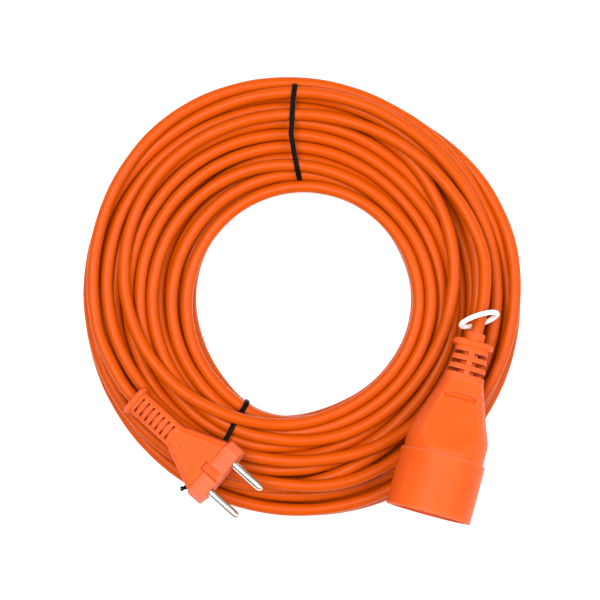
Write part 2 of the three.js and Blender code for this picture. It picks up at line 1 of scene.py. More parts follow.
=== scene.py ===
"""An orange extension cord, wound into a flat coil, with its plug, its socket and a hanging ring.

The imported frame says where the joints, the pins and the mounts are. The plug and the socket are
built in millimetres, each in a local frame with +X as its front, and set down in metres. The cord
and the ties are worked out round the coil's middle, also in millimetres.
"""

import json
import math

import bmesh
import bpy
import numpy as np
from mathutils import Matrix, Vector


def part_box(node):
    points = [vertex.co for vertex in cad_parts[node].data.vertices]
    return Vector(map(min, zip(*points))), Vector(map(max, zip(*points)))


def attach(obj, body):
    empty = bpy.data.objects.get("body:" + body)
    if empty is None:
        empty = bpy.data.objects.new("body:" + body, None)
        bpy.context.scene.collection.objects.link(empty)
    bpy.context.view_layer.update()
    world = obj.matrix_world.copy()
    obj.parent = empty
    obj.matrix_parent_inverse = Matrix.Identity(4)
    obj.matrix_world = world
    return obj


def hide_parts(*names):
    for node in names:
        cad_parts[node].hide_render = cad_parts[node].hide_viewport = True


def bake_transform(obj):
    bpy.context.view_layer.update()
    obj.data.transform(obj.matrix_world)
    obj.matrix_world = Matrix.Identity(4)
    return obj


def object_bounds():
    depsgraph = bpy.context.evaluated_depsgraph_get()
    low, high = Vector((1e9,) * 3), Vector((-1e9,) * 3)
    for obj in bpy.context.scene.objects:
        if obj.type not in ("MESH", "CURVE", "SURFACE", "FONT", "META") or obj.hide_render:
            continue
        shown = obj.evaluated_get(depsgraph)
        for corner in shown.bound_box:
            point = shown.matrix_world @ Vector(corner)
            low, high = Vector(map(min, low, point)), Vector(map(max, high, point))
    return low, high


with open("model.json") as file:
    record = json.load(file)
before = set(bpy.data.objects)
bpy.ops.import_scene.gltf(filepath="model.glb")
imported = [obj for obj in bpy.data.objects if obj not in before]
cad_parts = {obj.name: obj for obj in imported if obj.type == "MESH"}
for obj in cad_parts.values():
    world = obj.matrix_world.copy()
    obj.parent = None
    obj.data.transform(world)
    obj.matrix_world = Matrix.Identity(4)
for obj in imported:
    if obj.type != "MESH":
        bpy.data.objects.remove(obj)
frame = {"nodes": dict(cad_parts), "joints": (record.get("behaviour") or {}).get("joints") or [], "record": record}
cad_low, cad_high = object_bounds()

MM = 0.001
GAP = 0.3                   # between touching pieces

# ---- Sizes in millimetres ----

CORD_DIAMETER = 6.4
CORD_RADIUS = CORD_DIAMETER / 2
CORD_HOLE = 3.5             # radius of the hole in a strain relief
HOLE_DEPTH = 9
CORD_INSIDE = 3             # how far the cord runs into a gland
CORE_LAY = 62               # the length in which the cores turn round once
CORE_SWELL = 0.012          # how much they swell the sheath, as a share of its radius
CORD_SIDES = 18

PLUG_PIVOT = 16.0           # along the plug, from the rear of its collar
PLUG_COLLAR = 3.4
PLUG_SLEEVE_END = 28.6
PLUG_BLOCK_START = 53.1
PLUG_FACE = 62.1
PLUG_SLOTS = 7
NOTCH_WIDTH = 5.4
NOTCH_FLOOR = 4.0           # above the plug's middle
WELL_ROOM = 0.7             # round each pin where it leaves the face
WELL_DEPTH = 2.4
PIN_PITCH = 19
PIN_RADIUS = 2
PIN_LENGTH = 19
PIN_TAIL = 13.5

SOCKET_PIVOT = 16.55        # along the socket, from the rear of its neck
SOCKET_NECK = 4.3
SOCKET_COLLAR_END = 8.1
SOCKET_SLEEVE_END = 25.0
SOCKET_BODY_START = 25.3
SOCKET_BODY_END = 65.4
SOCKET_SHELL_START = 65.7
SOCKET_MOUTH = 95.6
SOCKET_RADIUS = 22
SOCKET_BODY_RADIUS = 20.75
SOCKET_WALL = 2.2

RING_OUTER = 10.8
RING_BAND = 2.5
RING_THICKNESS = 2.4

TIE_WIDTH = 2.6
TIE_THICKNESS = 1.2
TIE_CLIMB = 1.4             # how far the last turn rises over the lower tie
UPPER_TIE_CLOCK = 356.5
LOWER_TIE_CLOCK = 208.5
UPPER_TIE_BOW = [(60, -2.1), (68, -1.6), (75, 0), (85, 1.0), (94, 0.4), (102, -1.2), (109, -2.5)]

# ---- Camera ----

CAMERA_HEIGHT = 1.2         # metres above the floor
CAMERA_OVER = (-0.0015, -0.0010)
VIEW_WIDTH = 0.312          # metres across at the middle of the coil's height
SENSOR_WIDTH = 36


def make_camera():
    data = bpy.data.cameras.new("camera")
    data.sensor_width = SENSOR_WIDTH
    coil_middle = cad_low.z + 0.015
    data.lens = SENSOR_WIDTH * (CAMERA_HEIGHT - coil_middle) / VIEW_WIDTH
    camera = bpy.data.objects.new("camera", data)
    camera.location = (*CAMERA_OVER, CAMERA_HEIGHT)
    bpy.context.scene.collection.objects.link(camera)
    bpy.context.scene.camera = camera


# ---- Places from the frame ----

def joint_named(name):
    return next(joint for joint in frame["joints"] if joint["name"] == name)


def mount_named(name):
    return next(mount for mount in frame["record"]["mounts"] if mount["name"] == name)


def middle_of(node):
    low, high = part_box(node)
    return (low + high) / 2


def local_frame(joint, pivot, mount, left, right):
    """The matrix from a fitting's own millimetres to the frame's metres."""
    front = Vector(mount_named(mount)["axis"]).normalized()
    side = (middle_of(left) - middle_of(right)).normalized()
    side = (side - front * side.dot(front)).normalized()
    up = front.cross(side)
    rear = Vector(joint_named(joint)["pos_m"]) - front * pivot * MM
    turn = Matrix((front, side, up)).transposed().to_4x4()
    return Matrix.Translation(rear) @ turn @ Matrix.Scale(MM, 4)


plug_frame = local_frame("plug_bend", PLUG_PIVOT, "plug_face", "plug_pin_left", "plug_pin_right")
socket_frame = local_frame(
    "socket_bend", SOCKET_PIVOT, "socket_face", "socket_contact_left", "socket_contact_right")


# ---- The cord's route ----

# Where it isn't coiled, from each gland to the coil, in metres.
PLUG_TAIL_POINTS = [
    (-0.0911, -0.0475, 0.0275),
    (-0.0977, -0.0356, 0.0260),
    (-0.1036, -0.0239, 0.0244),
    (-0.1077, -0.0113, 0.0224),
    (-0.1097, 0.0000, 0.0204),
]
SOCKET_TAIL_POINTS = [
    (0.0924, -0.0048, 0.0302),
    (0.0937, 0.0082, 0.0284),
    (0.0936, 0.0199, 0.0264),
    (0.0907, 0.0312, 0.0244),
    (0.0863, 0.0402, 0.0224),
]

# The coil is worked out at stations round the clock, in degrees clockwise from +Y, going on up
# from turn to turn. At each station every turn has a radius and a height in millimetres.
STATIONS = 96               # in each turn
STEP = 360 / STATIONS
FIRST_CLOCK = 240           # at the plug's collar
LAST_CLOCK = 97.5           # at the socket's neck
TURNS = 28
PLUG_TAIL_CLOCK = 264       # the tails reach this far round
SOCKET_TAIL_CLOCK = 70
HIDDEN_WANDER = 2.6         # how far a turn underneath strays
TIGHTEST_BEND = 29          # a bend tighter than this radius is smoothed again
SWING_STEP = 10             # degrees between the points of an easing turn
LANE_STEP = 30              # degrees between the points of a turn on top
FIRST_TURN_END = 400        # clocks past this one belong to other turns than the first
LAST_TURN_REACH = 300       # the last turn's own stations, in degrees before the cord's end
ROUNDS = 900
EARLY = 0.8                 # the share of the rounds in which the turns fall fast
FALL, LATE_FALL = 0.10, 0.03          # millimetres in each round
PULL, LATE_PULL = 0.06, 0.01          # the share of the way back to the aimed radius
SMOOTHING = ((1, 0.35), (2, 0.25))    # reach in stations, and weight
WIDE_REACH, WIDE_WEIGHT = 4, 0.12
PUSH = 0.45

# Where one turn lies alone, the others keep this far off it: a clock, its reach and millimetres.
LONE_OUTSIDE = (334, 16, 4)
LONE_INSIDE = (355, 24, 3.5)
LONE_INSIDE_TURNS = 640     # degrees before the cord's end from which a turn may lie alone inside

# The bundle is a ring with a few bulges and dents, each a clock, how far it reaches and its height.
BUNDLE_OUTER = 115
BUNDLE_INNER = 55
OUTER_BULGES = [(330, 25, 4), (155, 25, 2), (30, 20, -4)]
INNER_BULGES = [(198, 30, 8), (100, 45, 2)]

# A turn on top is a circle set off centre: its middle radius, how far off, and where it is widest.
TOP_TURNS = [(70, 8, 260), (78, 9, 270), (84, 10, 280), (90, 10, 280), (105, 5, 310),
             (98, 11, 310), (89, 21, 310), (71, 10, 260), (65, 5, 240), (60, 4, 200)]
TOP_HEIGHTS = (16, 16, 16, 16, 18, 17, 21, 18, 16, 17)

# The last turn swings out over the others to the socket, and the first one comes from the plug.
LAST_TURN = [(180, 65), (310, 104), (365, 93), (457.5, 93)]
FIRST_TURN = [(240, 101), (320, 116), (390, 108), (540, 111)]
FIRST_HEIGHTS = [(240, 27), (260, 25), (375, 24), (392, 11), (400, 8), (540, 5)]


def near_clock(clock, at, reach):
    """1 at a clock, falling away smoothly on both sides of it."""
    return np.exp(-(((clock - at + 180) % 360 - 180) / reach) ** 2)


def edge_radius(radius, bulges, clock):
    """The bundle's edge at a clock."""
    return radius + sum(height * near_clock(clock, at, reach) for at, reach, height in bulges)


def swinging(points):
    """(clock, radius) points that ease from one place to the next."""
    made = []
    for (start, before), (end, after) in zip(points, points[1:]):
        for clock in np.arange(start, end, SWING_STEP):
            made.append((clock, before + (after - before) * float(step_up(clock, start, end))))
    return [*made, points[-1]]


def distance_along(line):
    return np.concatenate([[0], np.cumsum(np.linalg.norm(np.diff(line, axis=0), axis=1))])


def curve_through(points, steps=12):
    """A centripetal Catmull-Rom curve through points, as the frame's tails are."""
    points = [np.array(p, float) for p in points]
    points = [2 * points[0] - points[1], *points, 2 * points[-1] - points[-2]]
    line = [points[1]]
    for p0, p1, p2, p3 in zip(points, points[1:], points[2:], points[3:]):
        t0 = 0.0
        t1 = t0 + math.sqrt(np.linalg.norm(p1 - p0))
        t2 = t1 + math.sqrt(np.linalg.norm(p2 - p1))
        t3 = t2 + math.sqrt(np.linalg.norm(p3 - p2))
        for t in np.linspace(t1, t2, steps + 1)[1:]:
            a1 = p0 + (p1 - p0) * (t - t0) / (t1 - t0)
            a2 = p1 + (p2 - p1) * (t - t1) / (t2 - t1)
            a3 = p2 + (p3 - p2) * (t - t2) / (t3 - t2)
            b1 = a1 + (a2 - a1) * (t - t0) / (t2 - t0)
            b2 = a2 + (a3 - a2) * (t - t1) / (t3 - t1)
            line.append(b1 + (b2 - b1) * (t - t1) / (t2 - t1))
    return np.array(line)


def tail_line(place, pivot, points):
    """A tail's centreline in millimetres, from inside its gland."""
    inside = [place @ Vector((x, 0, 0)) for x in (pivot, 0)]
    return curve_through([*inside, *points]) / MM


def lay_out():
    """Each station's clock, and the radius and height that its turn aims for."""
    rng = np.random.default_rng(11)
    last = LAST_CLOCK + 360 * TURNS
    clock = np.arange(FIRST_CLOCK, last + STEP / 2, STEP)
    radii, heights = swinging(FIRST_TURN), list(FIRST_HEIGHTS)
    hidden = TURNS - 2 - len(TOP_TURNS)
    bottom = (hidden + 2) // 2
    start = FIRST_TURN[-1][0]
    for turn in range(hidden):
        below = turn < bottom
        share = 1 - turn / (bottom - 1) if below else (turn - bottom + 0.6) / (hidden - bottom)
        for bearing in (60, 150, 240, 330):
            at = start + 360 * turn + bearing
            inner = edge_radius(BUNDLE_INNER, INNER_BULGES, at)
            outer = edge_radius(BUNDLE_OUTER, OUTER_BULGES, at)
            room = outer - inner - CORD_DIAMETER
            aim = inner + CORD_RADIUS + room * min(max(share, 0.03), 0.97)
            radii.append((at, aim + rng.uniform(-1, 1) * HIDDEN_WANDER))
            heights.append((at, CORD_RADIUS + (0 if below else 6) + turn * 0.02))
    base = start + 360 * hidden - 180
    for turn, ((middle, off, widest), height) in enumerate(zip(TOP_TURNS, TOP_HEIGHTS)):
        radii += [(base + 360 * turn + at, middle + off * math.cos(math.radians(at - widest)))
                  for at in range(180, 511, LANE_STEP)]
        heights += [(base + 360 * turn + at, height + turn * 0.3) for at in (200, 500)]
    base += 360 * len(TOP_TURNS)
    radii += [(base + at, r) for at, r in swinging(LAST_TURN)]
    heights += [(base + 180, 20), (base + 230, 24), (base + 457, 30)]
    return clock, np.interp(clock, *zip(*radii)), np.interp(clock, *zip(*heights))


def pin_tails(clock, r, z, plug_tail, socket_tail):
    """Puts the first and last stations on the tails, and says which ones those are."""
    at_plug = clock <= PLUG_TAIL_CLOCK
    at_socket = clock >= clock[-1] - (LAST_CLOCK - SOCKET_TAIL_CLOCK)
    for line, held in ((plug_tail, at_plug), (socket_tail, at_socket)):
        bearing = np.degrees(np.arctan2(line[:, 0], line[:, 1])) % 360
        order = np.argsort(bearing)
        at = np.mod(clock[held], 360)
        r[held] = np.interp(at, bearing[order], np.hypot(line[:, 0], line[:, 1])[order])
        z[held] = np.interp(at, bearing[order], line[order, 2])
    return at_plug | at_socket


# What lies on the coil, as (x, half width, depth below its middle) along each fitting.
PLUG_UNDERSIDE = [(-1, 8.3, 5.8), (3.4, 8.3, 5.8), (4, 6.4, 5), (29, 6.4, 5), (53, 16, 6.8),
                  (62.1, 17.7, 7.4), (62.6, 12, 2.2), (81.5, 12, 2.2)]
SOCKET_UNDERSIDE = [(-1, 5.3, 5.3), (4, 5.3, 5.3), (4.3, 10.7, 7.1), (8.1, 10.7, 7.1), (8.5, 8.6, 6.3),
                    (25, 10.5, 7.6), (35.3, 13.8, 9.8), (47.8, 18.2, 13.5), (53.4, 20.4, 15.4),
                    (60.2, 20.8, 19.1), (65, 22, 22), (96.2, 22, 22)]
RING_UNDERSIDE = [(-26, 11.3, 8.6), (-1.5, 11.3, 8.6)]
UNDERSIDES = [(plug_frame, PLUG_UNDERSIDE, 6), (socket_frame, SOCKET_UNDERSIDE, 2.6),
              (socket_frame, RING_UNDERSIDE, 2)]


def ceiling(x, y):
    """The most height a cord's middle may have where the fittings lie on the coil."""
    highest = np.full(x.shape, 1e3)
    room = CORD_RADIUS + 0.35
    for place, profile, roundness in UNDERSIDES:
        front, side, up = (np.array(place.col[k][:3]) / MM for k in range(3))
        rear = np.array(place.col[3][:3]) / MM
        dx, dy = x - rear[0], y - rear[1]
        along = (dx * front[0] + dy * front[1]) / (front[0] ** 2 + front[1] ** 2)
        across = dx * side[0] + dy * side[1]
        at, widths, depths = zip(*profile)
        width = np.interp(along, at, widths) + room
        depth = np.interp(along, at, depths) + room
        inside = (along > at[0]) & (along < at[-1]) & (np.abs(across) < width)
        share = np.minimum(np.abs(across) / width, 1)
        reach = depth * (1 - share ** roundness) ** (1 / roundness) / up[2]
        under = rear[2] + along * front[2] + across * side[2] - reach
        highest = np.where(inside, np.minimum(highest, under), highest)
    return highest


def smoothed(values, weight, reach, held):
    out = values.copy()
    middle = 0.5 * (values[:-2 * reach] + values[2 * reach:])
    out[reach:-reach] += weight * (middle - values[reach:-reach])
    out[held] = values[held]
    return out


def bend_radius(clock, r, z):
    angle = np.radians(clock)
    line = np.stack([r * np.sin(angle), r * np.cos(angle), z], 1)
    before, after = line[1:-1] - line[:-2], line[2:] - line[1:-1]
    lengths = np.linalg.norm(before, axis=1), np.linalg.norm(after, axis=1)
    turn = np.arccos(np.clip((before * after).sum(1) / lengths[0] / lengths[1], -1, 1))
    return 0.5 * (lengths[0] + lengths[1]) / np.maximum(turn, 1e-6)


def settle(clock, r, z, held):
    """Lets the turns fall onto each other, keep a diameter apart and bend gently."""
    count = len(clock)
    turns = -(-count // STATIONS)
    spare = 1e4 + 100 * np.arange(turns * STATIONS - count)
    target, held_r, held_z = r.copy(), r[held].copy(), z[held].copy()
    inner = edge_radius(BUNDLE_INNER, INNER_BULGES, clock) + CORD_RADIUS
    outer = edge_radius(BUNDLE_OUTER, OUTER_BULGES, clock) - CORD_RADIUS
    at, reach, off = LONE_OUTSIDE
    outer -= np.where(clock > FIRST_TURN_END, off * near_clock(clock, at, reach), 0)
    at, reach, off = LONE_INSIDE
    inner += np.where(clock < clock[-1] - LONE_INSIDE_TURNS, off * near_clock(clock, at, reach), 0)
    angle = np.radians(clock)
    same = np.arange(turns)
    for step in range(ROUNDS):
        late = step / ROUNDS
        z = z - (FALL if late < EARLY else LATE_FALL)
        r = r + (PULL * (1 - late) + LATE_PULL) * (target - r)
        for reach, weight in (*SMOOTHING, (WIDE_REACH, WIDE_WEIGHT * (1 - late))):
            r = smoothed(r, weight, reach, held)
            z = smoothed(z, weight, reach, held)
        tight = np.zeros(count)
        tight[1:-1] = bend_radius(clock, r, z) < TIGHTEST_BEND
        tight = np.convolve(tight, np.ones(7), "same") > 0
        for reach in (2, 3):
            r = np.where(tight, smoothed(r, 0.4, reach, held), r)
            z = np.where(tight, smoothed(z, 0.4, reach, held), z)
        for _ in range(2):
            radii = np.concatenate([r, spare]).reshape(turns, STATIONS)
            heights = np.concatenate([z, spare]).reshape(turns, STATIONS)
            dr, dz = radii[:, None] - radii[None], heights[:, None] - heights[None]
            gap = np.sqrt(dr ** 2 + dz ** 2) + 1e-6
            deep = np.maximum(CORD_DIAMETER - gap, 0)
            deep[same, same] = 0
            push = PUSH * deep / gap
            touching = np.maximum((deep > 0).sum(1), 1)
            share = 1.25 * np.where(touching > 2, 1.6 / touching, 0.8)
            r = r + ((push * dr).sum(1) * share).reshape(-1)[:count]
            z = z + ((push * dz).sum(1) * share).reshape(-1)[:count]
            z = np.minimum(z, ceiling(r * np.sin(angle), r * np.cos(angle)))
            z = np.maximum(z, CORD_RADIUS)
            r = np.clip(r, inner, outer)
            r[held], z[held] = held_r, held_z
    return r, z


def cord_line():
    """The whole cord's centreline in millimetres, and the coil's stations for the ties."""
    plug_tail = tail_line(plug_frame, CORD_INSIDE, PLUG_TAIL_POINTS)
    socket_tail = tail_line(socket_frame, CORD_INSIDE, SOCKET_TAIL_POINTS)
    clock, r, z = lay_out()
    held = pin_tails(clock, r, z, plug_tail, socket_tail)
    r, z = settle(clock, r, z, held)
    z += TIE_CLIMB * near_clock(clock, LOWER_TIE_CLOCK, 10) * (clock > clock[-1] - LAST_TURN_REACH)
    coiled = (clock > PLUG_TAIL_CLOCK) & (clock < clock[-1] - (LAST_CLOCK - SOCKET_TAIL_CLOCK))
    angle = np.radians(clock[coiled])
    coil = np.stack([r[coiled] * np.sin(angle), r[coiled] * np.cos(angle), z[coiled]], 1)
    return plug_tail, coil, socket_tail, (clock, r, z)


# ---- Meshes ----

def make_object(name, points, faces, material, place=None, smooth_angle=38):
    """A mesh object. Its points are in a local frame's millimetres, or in the frame's own."""
    data = bpy.data.meshes.new(name)
    data.from_pydata([tuple(map(float, p)) for p in points], [], faces)
    data.transform(place if place is not None else Matrix.Scale(MM, 4))
    data.polygons.foreach_set("use_smooth", [True] * len(data.polygons))
    data.set_sharp_from_angle(angle=math.radians(smooth_angle))
    data.materials.append(material)
    data.update()
    made = bpy.data.objects.new(name, data)
    bpy.context.scene.collection.objects.link(made)
    return made


def rings_to_mesh(rings, closed=False):
    """Points and faces through rings of equal length. Open ends are closed by a fan."""
    rings = [np.asarray(ring, float) for ring in rings]
    count = len(rings[0])
    points = np.concatenate(rings).tolist()
    faces = []
    pairs = [(k, k + 1) for k in range(len(rings) - 1)] + ([(len(rings) - 1, 0)] if closed else [])
    for a, b in pairs:
        for k in range(count):
            n = (k + 1) % count
            faces.append((a * count + k, a * count + n, b * count + n, b * count + k))
    if not closed:
        for ring, first in ((0, True), (len(rings) - 1, False)):
            middle = len(points)
            points.append(rings[ring].mean(0).tolist())
            for k in range(count):
                n = (k + 1) % count
                edge = (ring * count + k, ring * count + n)
                faces.append((middle, edge[1], edge[0]) if first else (middle, *edge))
    return points, faces


def outward(made):
    """Turns every face of an object outward."""
    mesh = bmesh.new()
    mesh.from_mesh(made.data)
    bmesh.ops.recalc_face_normals(mesh, faces=mesh.faces)
    mesh.to_mesh(made.data)
    mesh.free()
    return made


def octagon(half_width, half_height, cut_width, cut_height):
    """A rectangle with its corners cut off, as (y, z) corners from the right side."""
    y, z = half_width, half_height
    return [(y, cut_height - z), (y, z - cut_height), (y - cut_width, z), (cut_width - y, z),
            (-y, z - cut_height), (-y, cut_height - z), (cut_width - y, -z), (y - cut_width, -z)]


LONG_SIDES = {2: 60, 6: 60}   # how finely the top and the bottom of an octagon are divided
SHORT_SIDE = 9
FILLET_STEPS = 5


def outline(corners, fillet):
    """A polygon with rounded corners, as (y, z) points. Its sides are divided the same way each time."""
    corners = [np.array(c, float) for c in corners]
    made = []
    for k, corner in enumerate(corners):
        before, after = corners[k - 1], corners[(k + 1) % len(corners)]
        further = corners[(k + 2) % len(corners)]
        back, ahead = before - corner, after - corner
        cut = min(fillet, 0.45 * np.linalg.norm(back), 0.45 * np.linalg.norm(ahead))
        start = corner + back / np.linalg.norm(back) * cut
        end = corner + ahead / np.linalg.norm(ahead) * cut
        for t in np.linspace(0, 1, FILLET_STEPS + 1):
            made.append((1 - t) ** 2 * start + 2 * t * (1 - t) * corner + t * t * end)
        next_cut = min(fillet, 0.45 * np.linalg.norm(ahead), 0.45 * np.linalg.norm(further - after))
        stop = after - ahead / np.linalg.norm(ahead) * next_cut
        steps = LONG_SIDES.get(k, SHORT_SIDE)
        made += [end + (stop - end) * t for t in np.linspace(0, 1, steps + 1)[1:-1]]
    return np.array(made)


def round_outline(half_width, half_height, exponent=2.0, count=144):
    """An ellipse, or a squarer one with its points spread evenly along it."""
    dense = count if exponent == 2 else 16 * count
    angle = 2 * math.pi * (np.arange(dense) + 0.5) / dense
    c, s = np.cos(angle), np.sin(angle)
    shape = np.stack([half_width * np.sign(c) * np.abs(c) ** (2 / exponent),
                      half_height * np.sign(s) * np.abs(s) ** (2 / exponent)], 1)
    if exponent == 2:
        return shape
    shape = np.vstack([shape, shape[:1]])
    far = distance_along(shape)
    at = np.linspace(0, far[-1], count + 1)[:-1]
    return np.column_stack([np.interp(at, far, shape[:, 0]), np.interp(at, far, shape[:, 1])])


def at_x(x, shape):
    return np.column_stack([np.full(len(shape), float(x)), shape])


def step_up(value, low, high):
    t = np.clip((value - low) / (high - low), 0, 1)
    return t * t * (3 - 2 * t)


def frames_along(line):
    """A side and an up direction at each point of a line, with no twist."""
    ahead = np.gradient(line, axis=0)
    ahead /= np.linalg.norm(ahead, axis=1)[:, None]
    side = np.cross(ahead[0], [0, 0, 1])
    sides = []
    for direction in ahead:
        side = side - direction * (side @ direction)
        side = side / np.linalg.norm(side)
        sides.append(side)
    sides = np.array(sides)
    return sides, np.cross(sides, ahead)


def cord_mesh(line, sides):
    """A sheath on a line. Its two twisted cores show as a faint swelling that turns round it."""
    side, up = frames_along(line)
    far = distance_along(line)
    angle = 2 * math.pi * np.arange(sides) / sides
    swell = 1 + CORE_SWELL * np.cos(2 * (angle[None] - 2 * math.pi * far[:, None] / CORE_LAY))
    radius = CORD_RADIUS * swell
    rings = (line[:, None] + radius[..., None] * (
        np.cos(angle)[None, :, None] * side[:, None] + np.sin(angle)[None, :, None] * up[:, None]))
    points, faces = rings_to_mesh(rings)
    return points, faces, far


def add_length_map(made, far, sides):
    """A UV map with the way round in U and metres along the cord in V."""
    layer = made.data.uv_layers.new(name="along")
    count = len(far) * sides
    loops = np.zeros(len(made.data.loops), int)
    made.data.loops.foreach_get("vertex_index", loops)
    inside = np.minimum(loops, count - 1)
    u = (inside % sides) / sides
    v = far[inside // sides] * MM
    starts = np.repeat(
        [p.loop_start for p in made.data.polygons], [p.loop_total for p in made.data.polygons])
    around_seam = (u == 0) & (np.maximum.reduceat(u, np.unique(starts))[
        np.searchsorted(np.unique(starts), starts)] > 0.5)
    u = np.where(around_seam, 1.0, u)
    layer.data.foreach_set("uv", np.stack([u, v], 1).astype(np.float32).ravel())


def finer(line, times=2):
    """More points on a line, on the cubic through its own points."""
    count = len(line)
    padded = np.concatenate([2 * line[:1] - line[1:2], line, 2 * line[-1:] - line[-2:-1]])
    made = [line[0]]
    for k in range(count - 1):
        p0, p1, p2, p3 = padded[k:k + 4]
        for t in np.arange(1, times + 1) / times:
            made.append(0.5 * (2 * p1 + (p2 - p0) * t + (2 * p0 - 5 * p1 + 4 * p2 - p3) * t ** 2
                               + (3 * p1 - p0 - 3 * p2 + p3) * t ** 3))
    return np.array(made)


def evenly(line, pitch):
    """The same line with points a pitch apart."""
    far = distance_along(line)
    at = np.linspace(0, far[-1], int(round(far[-1] / pitch)) + 1)
    return np.stack([np.interp(at, far, line[:, k]) for k in range(3)], 1)


def join_line(plug_tail, coil, socket_tail):
    """One line from the plug's gland to the socket's."""
    def kept(tail, reach):
        bearing = np.degrees(np.arctan2(tail[:, 0], tail[:, 1])) % 360
        return tail[bearing < reach] if reach > 180 else tail[bearing > reach]
    line = np.concatenate([
        kept(plug_tail, PLUG_TAIL_CLOCK - STEP / 2), coil,
        kept(socket_tail, SOCKET_TAIL_CLOCK + STEP / 2)[::-1]])
    line = finer(evenly(line, 5.5), 2)
    for _ in range(6):
        line[1:-1] += 0.25 * (line[:-2] + line[2:] - 2 * line[1:-1])
    return line


# ---- Materials ----

def new_material(name, color, roughness, metallic=0.0):
    """A material and its node tree, with the plain sockets set."""
    made = bpy.data.materials.new(name)
    made.use_nodes = True
    tree = made.node_tree
    shader = tree.nodes["Principled BSDF"]
    shader.inputs["Base Color"].default_value = (*color, 1)
    shader.inputs["Roughness"].default_value = roughness
    shader.inputs["Metallic"].default_value = metallic
    return made, tree, shader


def noise(tree, scale, detail=3.0, stretch=None, source="Object"):
    """A noise on object coordinates in metres, or on the cord's own length map."""
    coordinates = tree.nodes.new("ShaderNodeTexCoord")
    mapping = tree.nodes.new("ShaderNodeMapping")
    mapping.inputs["Scale"].default_value = stretch or (1, 1, 1)
    texture = tree.nodes.new("ShaderNodeTexNoise")
    texture.inputs["Scale"].default_value = scale
    texture.inputs["Detail"].default_value = detail
    tree.links.new(coordinates.outputs[source], mapping.inputs["Vector"])
    tree.links.new(mapping.outputs["Vector"], texture.inputs["Vector"])
    return texture.outputs["Fac"]


def mapped(tree, value, low, high, start=0.3, end=0.7):
    node = tree.nodes.new("ShaderNodeMapRange")
    node.inputs["From Min"].default_value = start
    node.inputs["From Max"].default_value = end
    node.inputs["To Min"].default_value = low
    node.inputs["To Max"].default_value = high
    tree.links.new(value, node.inputs["Value"])
    return node.outputs["Result"]


def mixed(tree, share, first, second):
    """A colour between two, each a colour or a socket."""
    node = tree.nodes.new("ShaderNodeMix")
    node.data_type = "RGBA"
    tree.links.new(share, node.inputs["Factor"])
    for name, value in (("A", first), ("B", second)):
        socket = next(i for i in node.inputs if i.name == name and i.type == "RGBA")
        if isinstance(value, tuple):
            socket.default_value = (*value, 1)
        else:
            tree.links.new(value, socket)
    return next(o for o in node.outputs if o.type == "RGBA")


def bumped(tree, shader, heights, distance):
    """Bumps stacked from (height, strength) pairs."""
    last = None
    for height, strength in heights:
        node = tree.nodes.new("ShaderNodeBump")
        node.inputs["Strength"].default_value = strength
        node.inputs["Distance"].default_value = distance
        tree.links.new(height, node.inputs["Height"])
        if last is not None:
            tree.links.new(last, node.inputs["Normal"])
        last = node.outputs["Normal"]
    tree.links.new(last, shader.inputs["Normal"])


def convex_edges(tree):
    """Where the surface is an outer edge, from 0 to 1."""
    geometry = tree.nodes.new("ShaderNodeNewGeometry")
    return mapped(tree, geometry.outputs["Pointiness"], 0, 1, *EDGE_POINTINESS)


def shade(color, factor):
    return tuple(min(1.0, c * factor) for c in color)


EDGE_POINTINESS = (0.505, 0.56)       # from a flat face to a worn edge
GRAIN_DEPTH = 0.0002                  # metres


def moulded(name, color, roughness, grain=0.18, wear=0.35, gloss=0.12):
    """A moulded plastic: cloudy colour, a fine spark-eroded grain, lighter rubbed edges."""
    made, tree, shader = new_material(name, color, roughness)
    shader.inputs["Specular IOR Level"].default_value = gloss
    cloud = mapped(tree, noise(tree, 60), 0, 1)
    body = mixed(tree, cloud, shade(color, 0.93), shade(color, 1.05))
    scuffs = mapped(tree, noise(tree, 900, 5.0, (1, 0.25, 1)), 0, 0.15, 0.56, 0.8)
    body = mixed(tree, scuffs, body, shade(color, 1.12))
    if wear:
        edge = tree.nodes.new("ShaderNodeMath")
        edge.operation = "MULTIPLY"
        edge.inputs[1].default_value = wear
        tree.links.new(convex_edges(tree), edge.inputs[0])
        rubbed = tuple(0.75 * c + 0.25 * max(color) for c in color)
        body = mixed(tree, edge.outputs["Value"], body, rubbed)
    tree.links.new(body, shader.inputs["Base Color"])
    tree.links.new(
        mapped(tree, noise(tree, 240, 4.0), roughness - 0.06, roughness + 0.07), shader.inputs["Roughness"])
    bumped(tree, shader, [(noise(tree, 5200, 2.0), grain), (noise(tree, 420, 2.0), grain * 0.5)], GRAIN_DEPTH)
    return made


def sheath_material():
    """Satin PVC, drawn through a die: faint lines run along it, and its gloss comes and goes."""
    color = SHEATH_COLOR
    made, tree, shader = new_material("cord_sheath", color, 0.36)
    shader.inputs["Specular IOR Level"].default_value = 0.08
    cloud = mapped(tree, noise(tree, 14, 3.0, (1, 9, 1), "UV"), 0, 1)
    body = mixed(tree, cloud, shade(color, 0.90), shade(color, 1.06))
    drawn = mapped(tree, noise(tree, 6, 4.0, (16, 3, 1), "UV"), 0, 1)
    body = mixed(tree, drawn, body, shade(color, 0.97))
    dust = mapped(tree, noise(tree, 700, 4.0), 0, 0.12, 0.6, 0.8)
    body = mixed(tree, dust, body, DUST_COLOR)
    tree.links.new(body, shader.inputs["Base Color"])
    tree.links.new(
        mapped(tree, noise(tree, 10, 4.0, (3, 14, 1), "UV"), 0.24, 0.36), shader.inputs["Roughness"])
    lines = noise(tree, 8, 3.0, (12, 2, 1), "UV")
    bumped(tree, shader, [(lines, 0.22), (noise(tree, 2600, 2.0), 0.10)], 0.0003)
    return made


